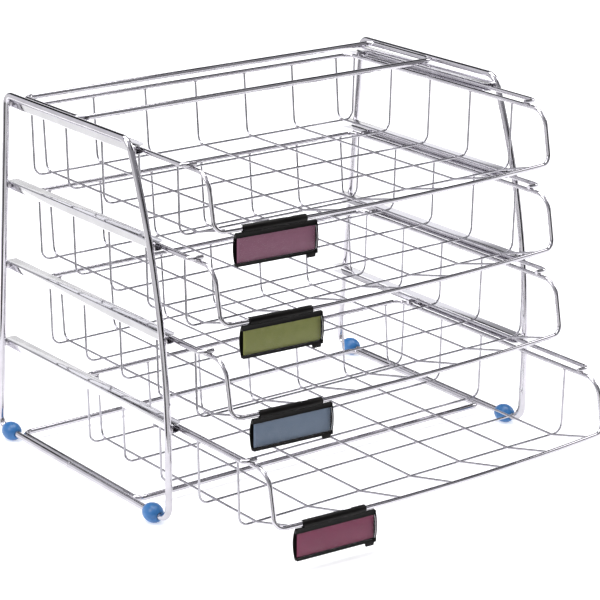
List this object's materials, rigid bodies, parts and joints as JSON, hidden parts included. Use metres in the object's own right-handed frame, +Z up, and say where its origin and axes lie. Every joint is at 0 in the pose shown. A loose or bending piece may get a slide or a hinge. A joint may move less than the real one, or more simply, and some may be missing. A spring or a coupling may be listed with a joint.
{
  "type": "letter tray",
  "caption": "Chromed wire desk tray stack: open trays slide out on sheet channels between two wire side frames, with clip-on label holders.",
  "frame": {"origin": "on the desk, below the middle of the whole as it stands with the lowest tray pulled out", "axes": "+Z up, +X to the right seen from the front, -Y the way the trays pull out"},
  "size_m": [0.411, 0.4118, 0.3275],
  "materials": {
    "chrome_wire": "bright chrome plate on round wire",
    "chrome_sheet": "bright chrome plate on bent sheet",
    "blue_foot": "smooth moulded plastic",
    "black_plastic": "smooth moulded plastic with a soft sheen",
    "clear_plastic": "clear polished sheet",
    "card_mauve": "plain matt card",
    "card_green": "plain matt card",
    "card_blue": "plain matt card",
    "card_plum": "plain matt card"
  },
  "bodies": {
    "frame": {"side_frame_left": "chrome_wire", "side_frame_right": "chrome_wire", "top_loop": "chrome_wire", "bottom_loop": "chrome_wire", "runner_left_1": "chrome_sheet", "runner_right_1": "chrome_sheet", "runner_left_2": "chrome_sheet", "runner_right_2": "chrome_sheet", "runner_left_3": "chrome_sheet", "runner_right_3": "chrome_sheet", "runner_left_4": "chrome_sheet", "runner_right_4": "chrome_sheet", "foot_front_left": "blue_foot", "foot_front_right": "blue_foot", "foot_rear_left": "blue_foot", "foot_rear_right": "blue_foot"},
    "tray_1": {"tray_1_rim": "chrome_wire", "tray_1_cross_wires": "chrome_wire", "tray_1_long_wires": "chrome_wire", "tray_1_slide_left": "chrome_wire", "tray_1_slide_right": "chrome_wire"},
    "tray_2": {"tray_2_rim": "chrome_wire", "tray_2_cross_wires": "chrome_wire", "tray_2_long_wires": "chrome_wire", "tray_2_slide_left": "chrome_wire", "tray_2_slide_right": "chrome_wire"},
    "tray_3": {"tray_3_rim": "chrome_wire", "tray_3_cross_wires": "chrome_wire", "tray_3_long_wires": "chrome_wire", "tray_3_slide_left": "chrome_wire", "tray_3_slide_right": "chrome_wire"},
    "tray_4": {"tray_4_rim": "chrome_wire", "tray_4_cross_wires": "chrome_wire", "tray_4_long_wires": "chrome_wire", "tray_4_slide_left": "chrome_wire", "tray_4_slide_right": "chrome_wire"},
    "label_1": {"label_1_holder": "black_plastic", "label_1_card": "card_mauve", "label_1_window": "clear_plastic"},
    "label_2": {"label_2_holder": "black_plastic", "label_2_card": "card_green", "label_2_window": "clear_plastic"},
    "label_3": {"label_3_holder": "black_plastic", "label_3_card": "card_blue", "label_3_window": "clear_plastic"},
    "label_4": {"label_4_holder": "black_plastic", "label_4_card": "card_plum", "label_4_window": "clear_plastic"}
  },
  "joints": [
    {"name": "tray_1_slide", "type": "slide", "parent": "frame", "child": "tray_1", "axis": [0, -1, 0], "range_m": [0, 0.15]},
    {"name": "tray_2_slide", "type": "slide", "parent": "frame", "child": "tray_2", "axis": [0, -1, 0], "range_m": [-0.015, 0.135]},
    {"name": "tray_3_slide", "type": "slide", "parent": "frame", "child": "tray_3", "axis": [0, -1, 0], "range_m": [-0.036, 0.114]},
    {"name": "tray_4_slide", "type": "slide", "parent": "frame", "child": "tray_4", "axis": [0, -1, 0], "range_m": [-0.102, 0.048]},
    {"name": "label_1_swing", "type": "hinge", "parent": "tray_1", "child": "label_1", "pos_m": [-0.124, -0.11785, 0.26585], "axis": [0.9973, -0.0731, 0], "range_deg": [-60, 25]},
    {"name": "label_2_swing", "type": "hinge", "parent": "tray_2", "child": "label_2", "pos_m": [-0.124, -0.12645, 0.19045], "axis": [0.9973, -0.0731, 0], "range_deg": [-60, 25]},
    {"name": "label_3_swing", "type": "hinge", "parent": "tray_3", "child": "label_3", "pos_m": [-0.124, -0.14075, 0.11505], "axis": [0.9973, -0.0731, 0], "range_deg": [-60, 25]},
    {"name": "label_4_swing", "type": "hinge", "parent": "tray_4", "child": "label_4", "pos_m": [-0.124, -0.19955, 0.03965], "axis": [0.9973, -0.0731, 0], "range_deg": [-60, 25]}
  ]
}
